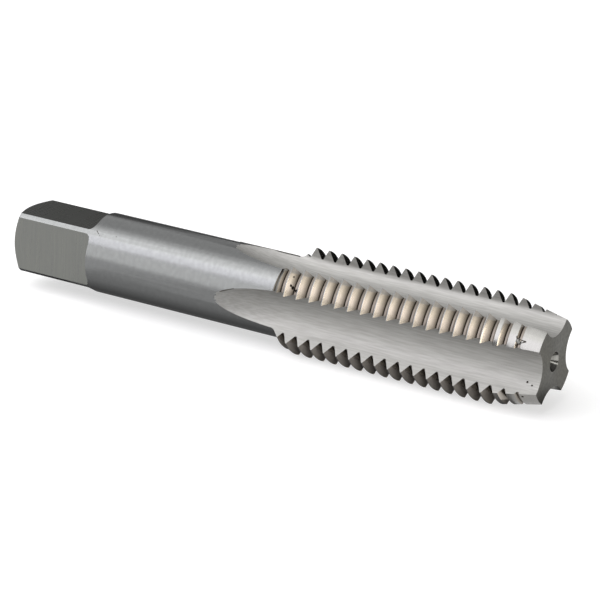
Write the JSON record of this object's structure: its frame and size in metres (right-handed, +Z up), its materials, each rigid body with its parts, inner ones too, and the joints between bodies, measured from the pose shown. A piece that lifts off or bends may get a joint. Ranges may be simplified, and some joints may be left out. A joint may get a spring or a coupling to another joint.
{
  "type": "thread tap",
  "caption": "Straight-fluted hand tap with a coarse right-hand thread, a tapered point, a round shank and a square driving end.",
  "frame": {"origin": "centre of the square end's face, on the tool's axis", "axes": "+X along the tool's axis towards the point, +Z up with the tool lying on its side, and the square's flats facing +Y, -Y, +Z and -Z"},
  "size_m": [0.108, 0.018, 0.018],
  "materials": {
    "ground_steel": "bright ground high-speed steel, with grinding lines round the shank, along the flutes and across the square"
  },
  "bodies": {
    "root": {"tap": "ground_steel"}
  },
  "joints": []
}
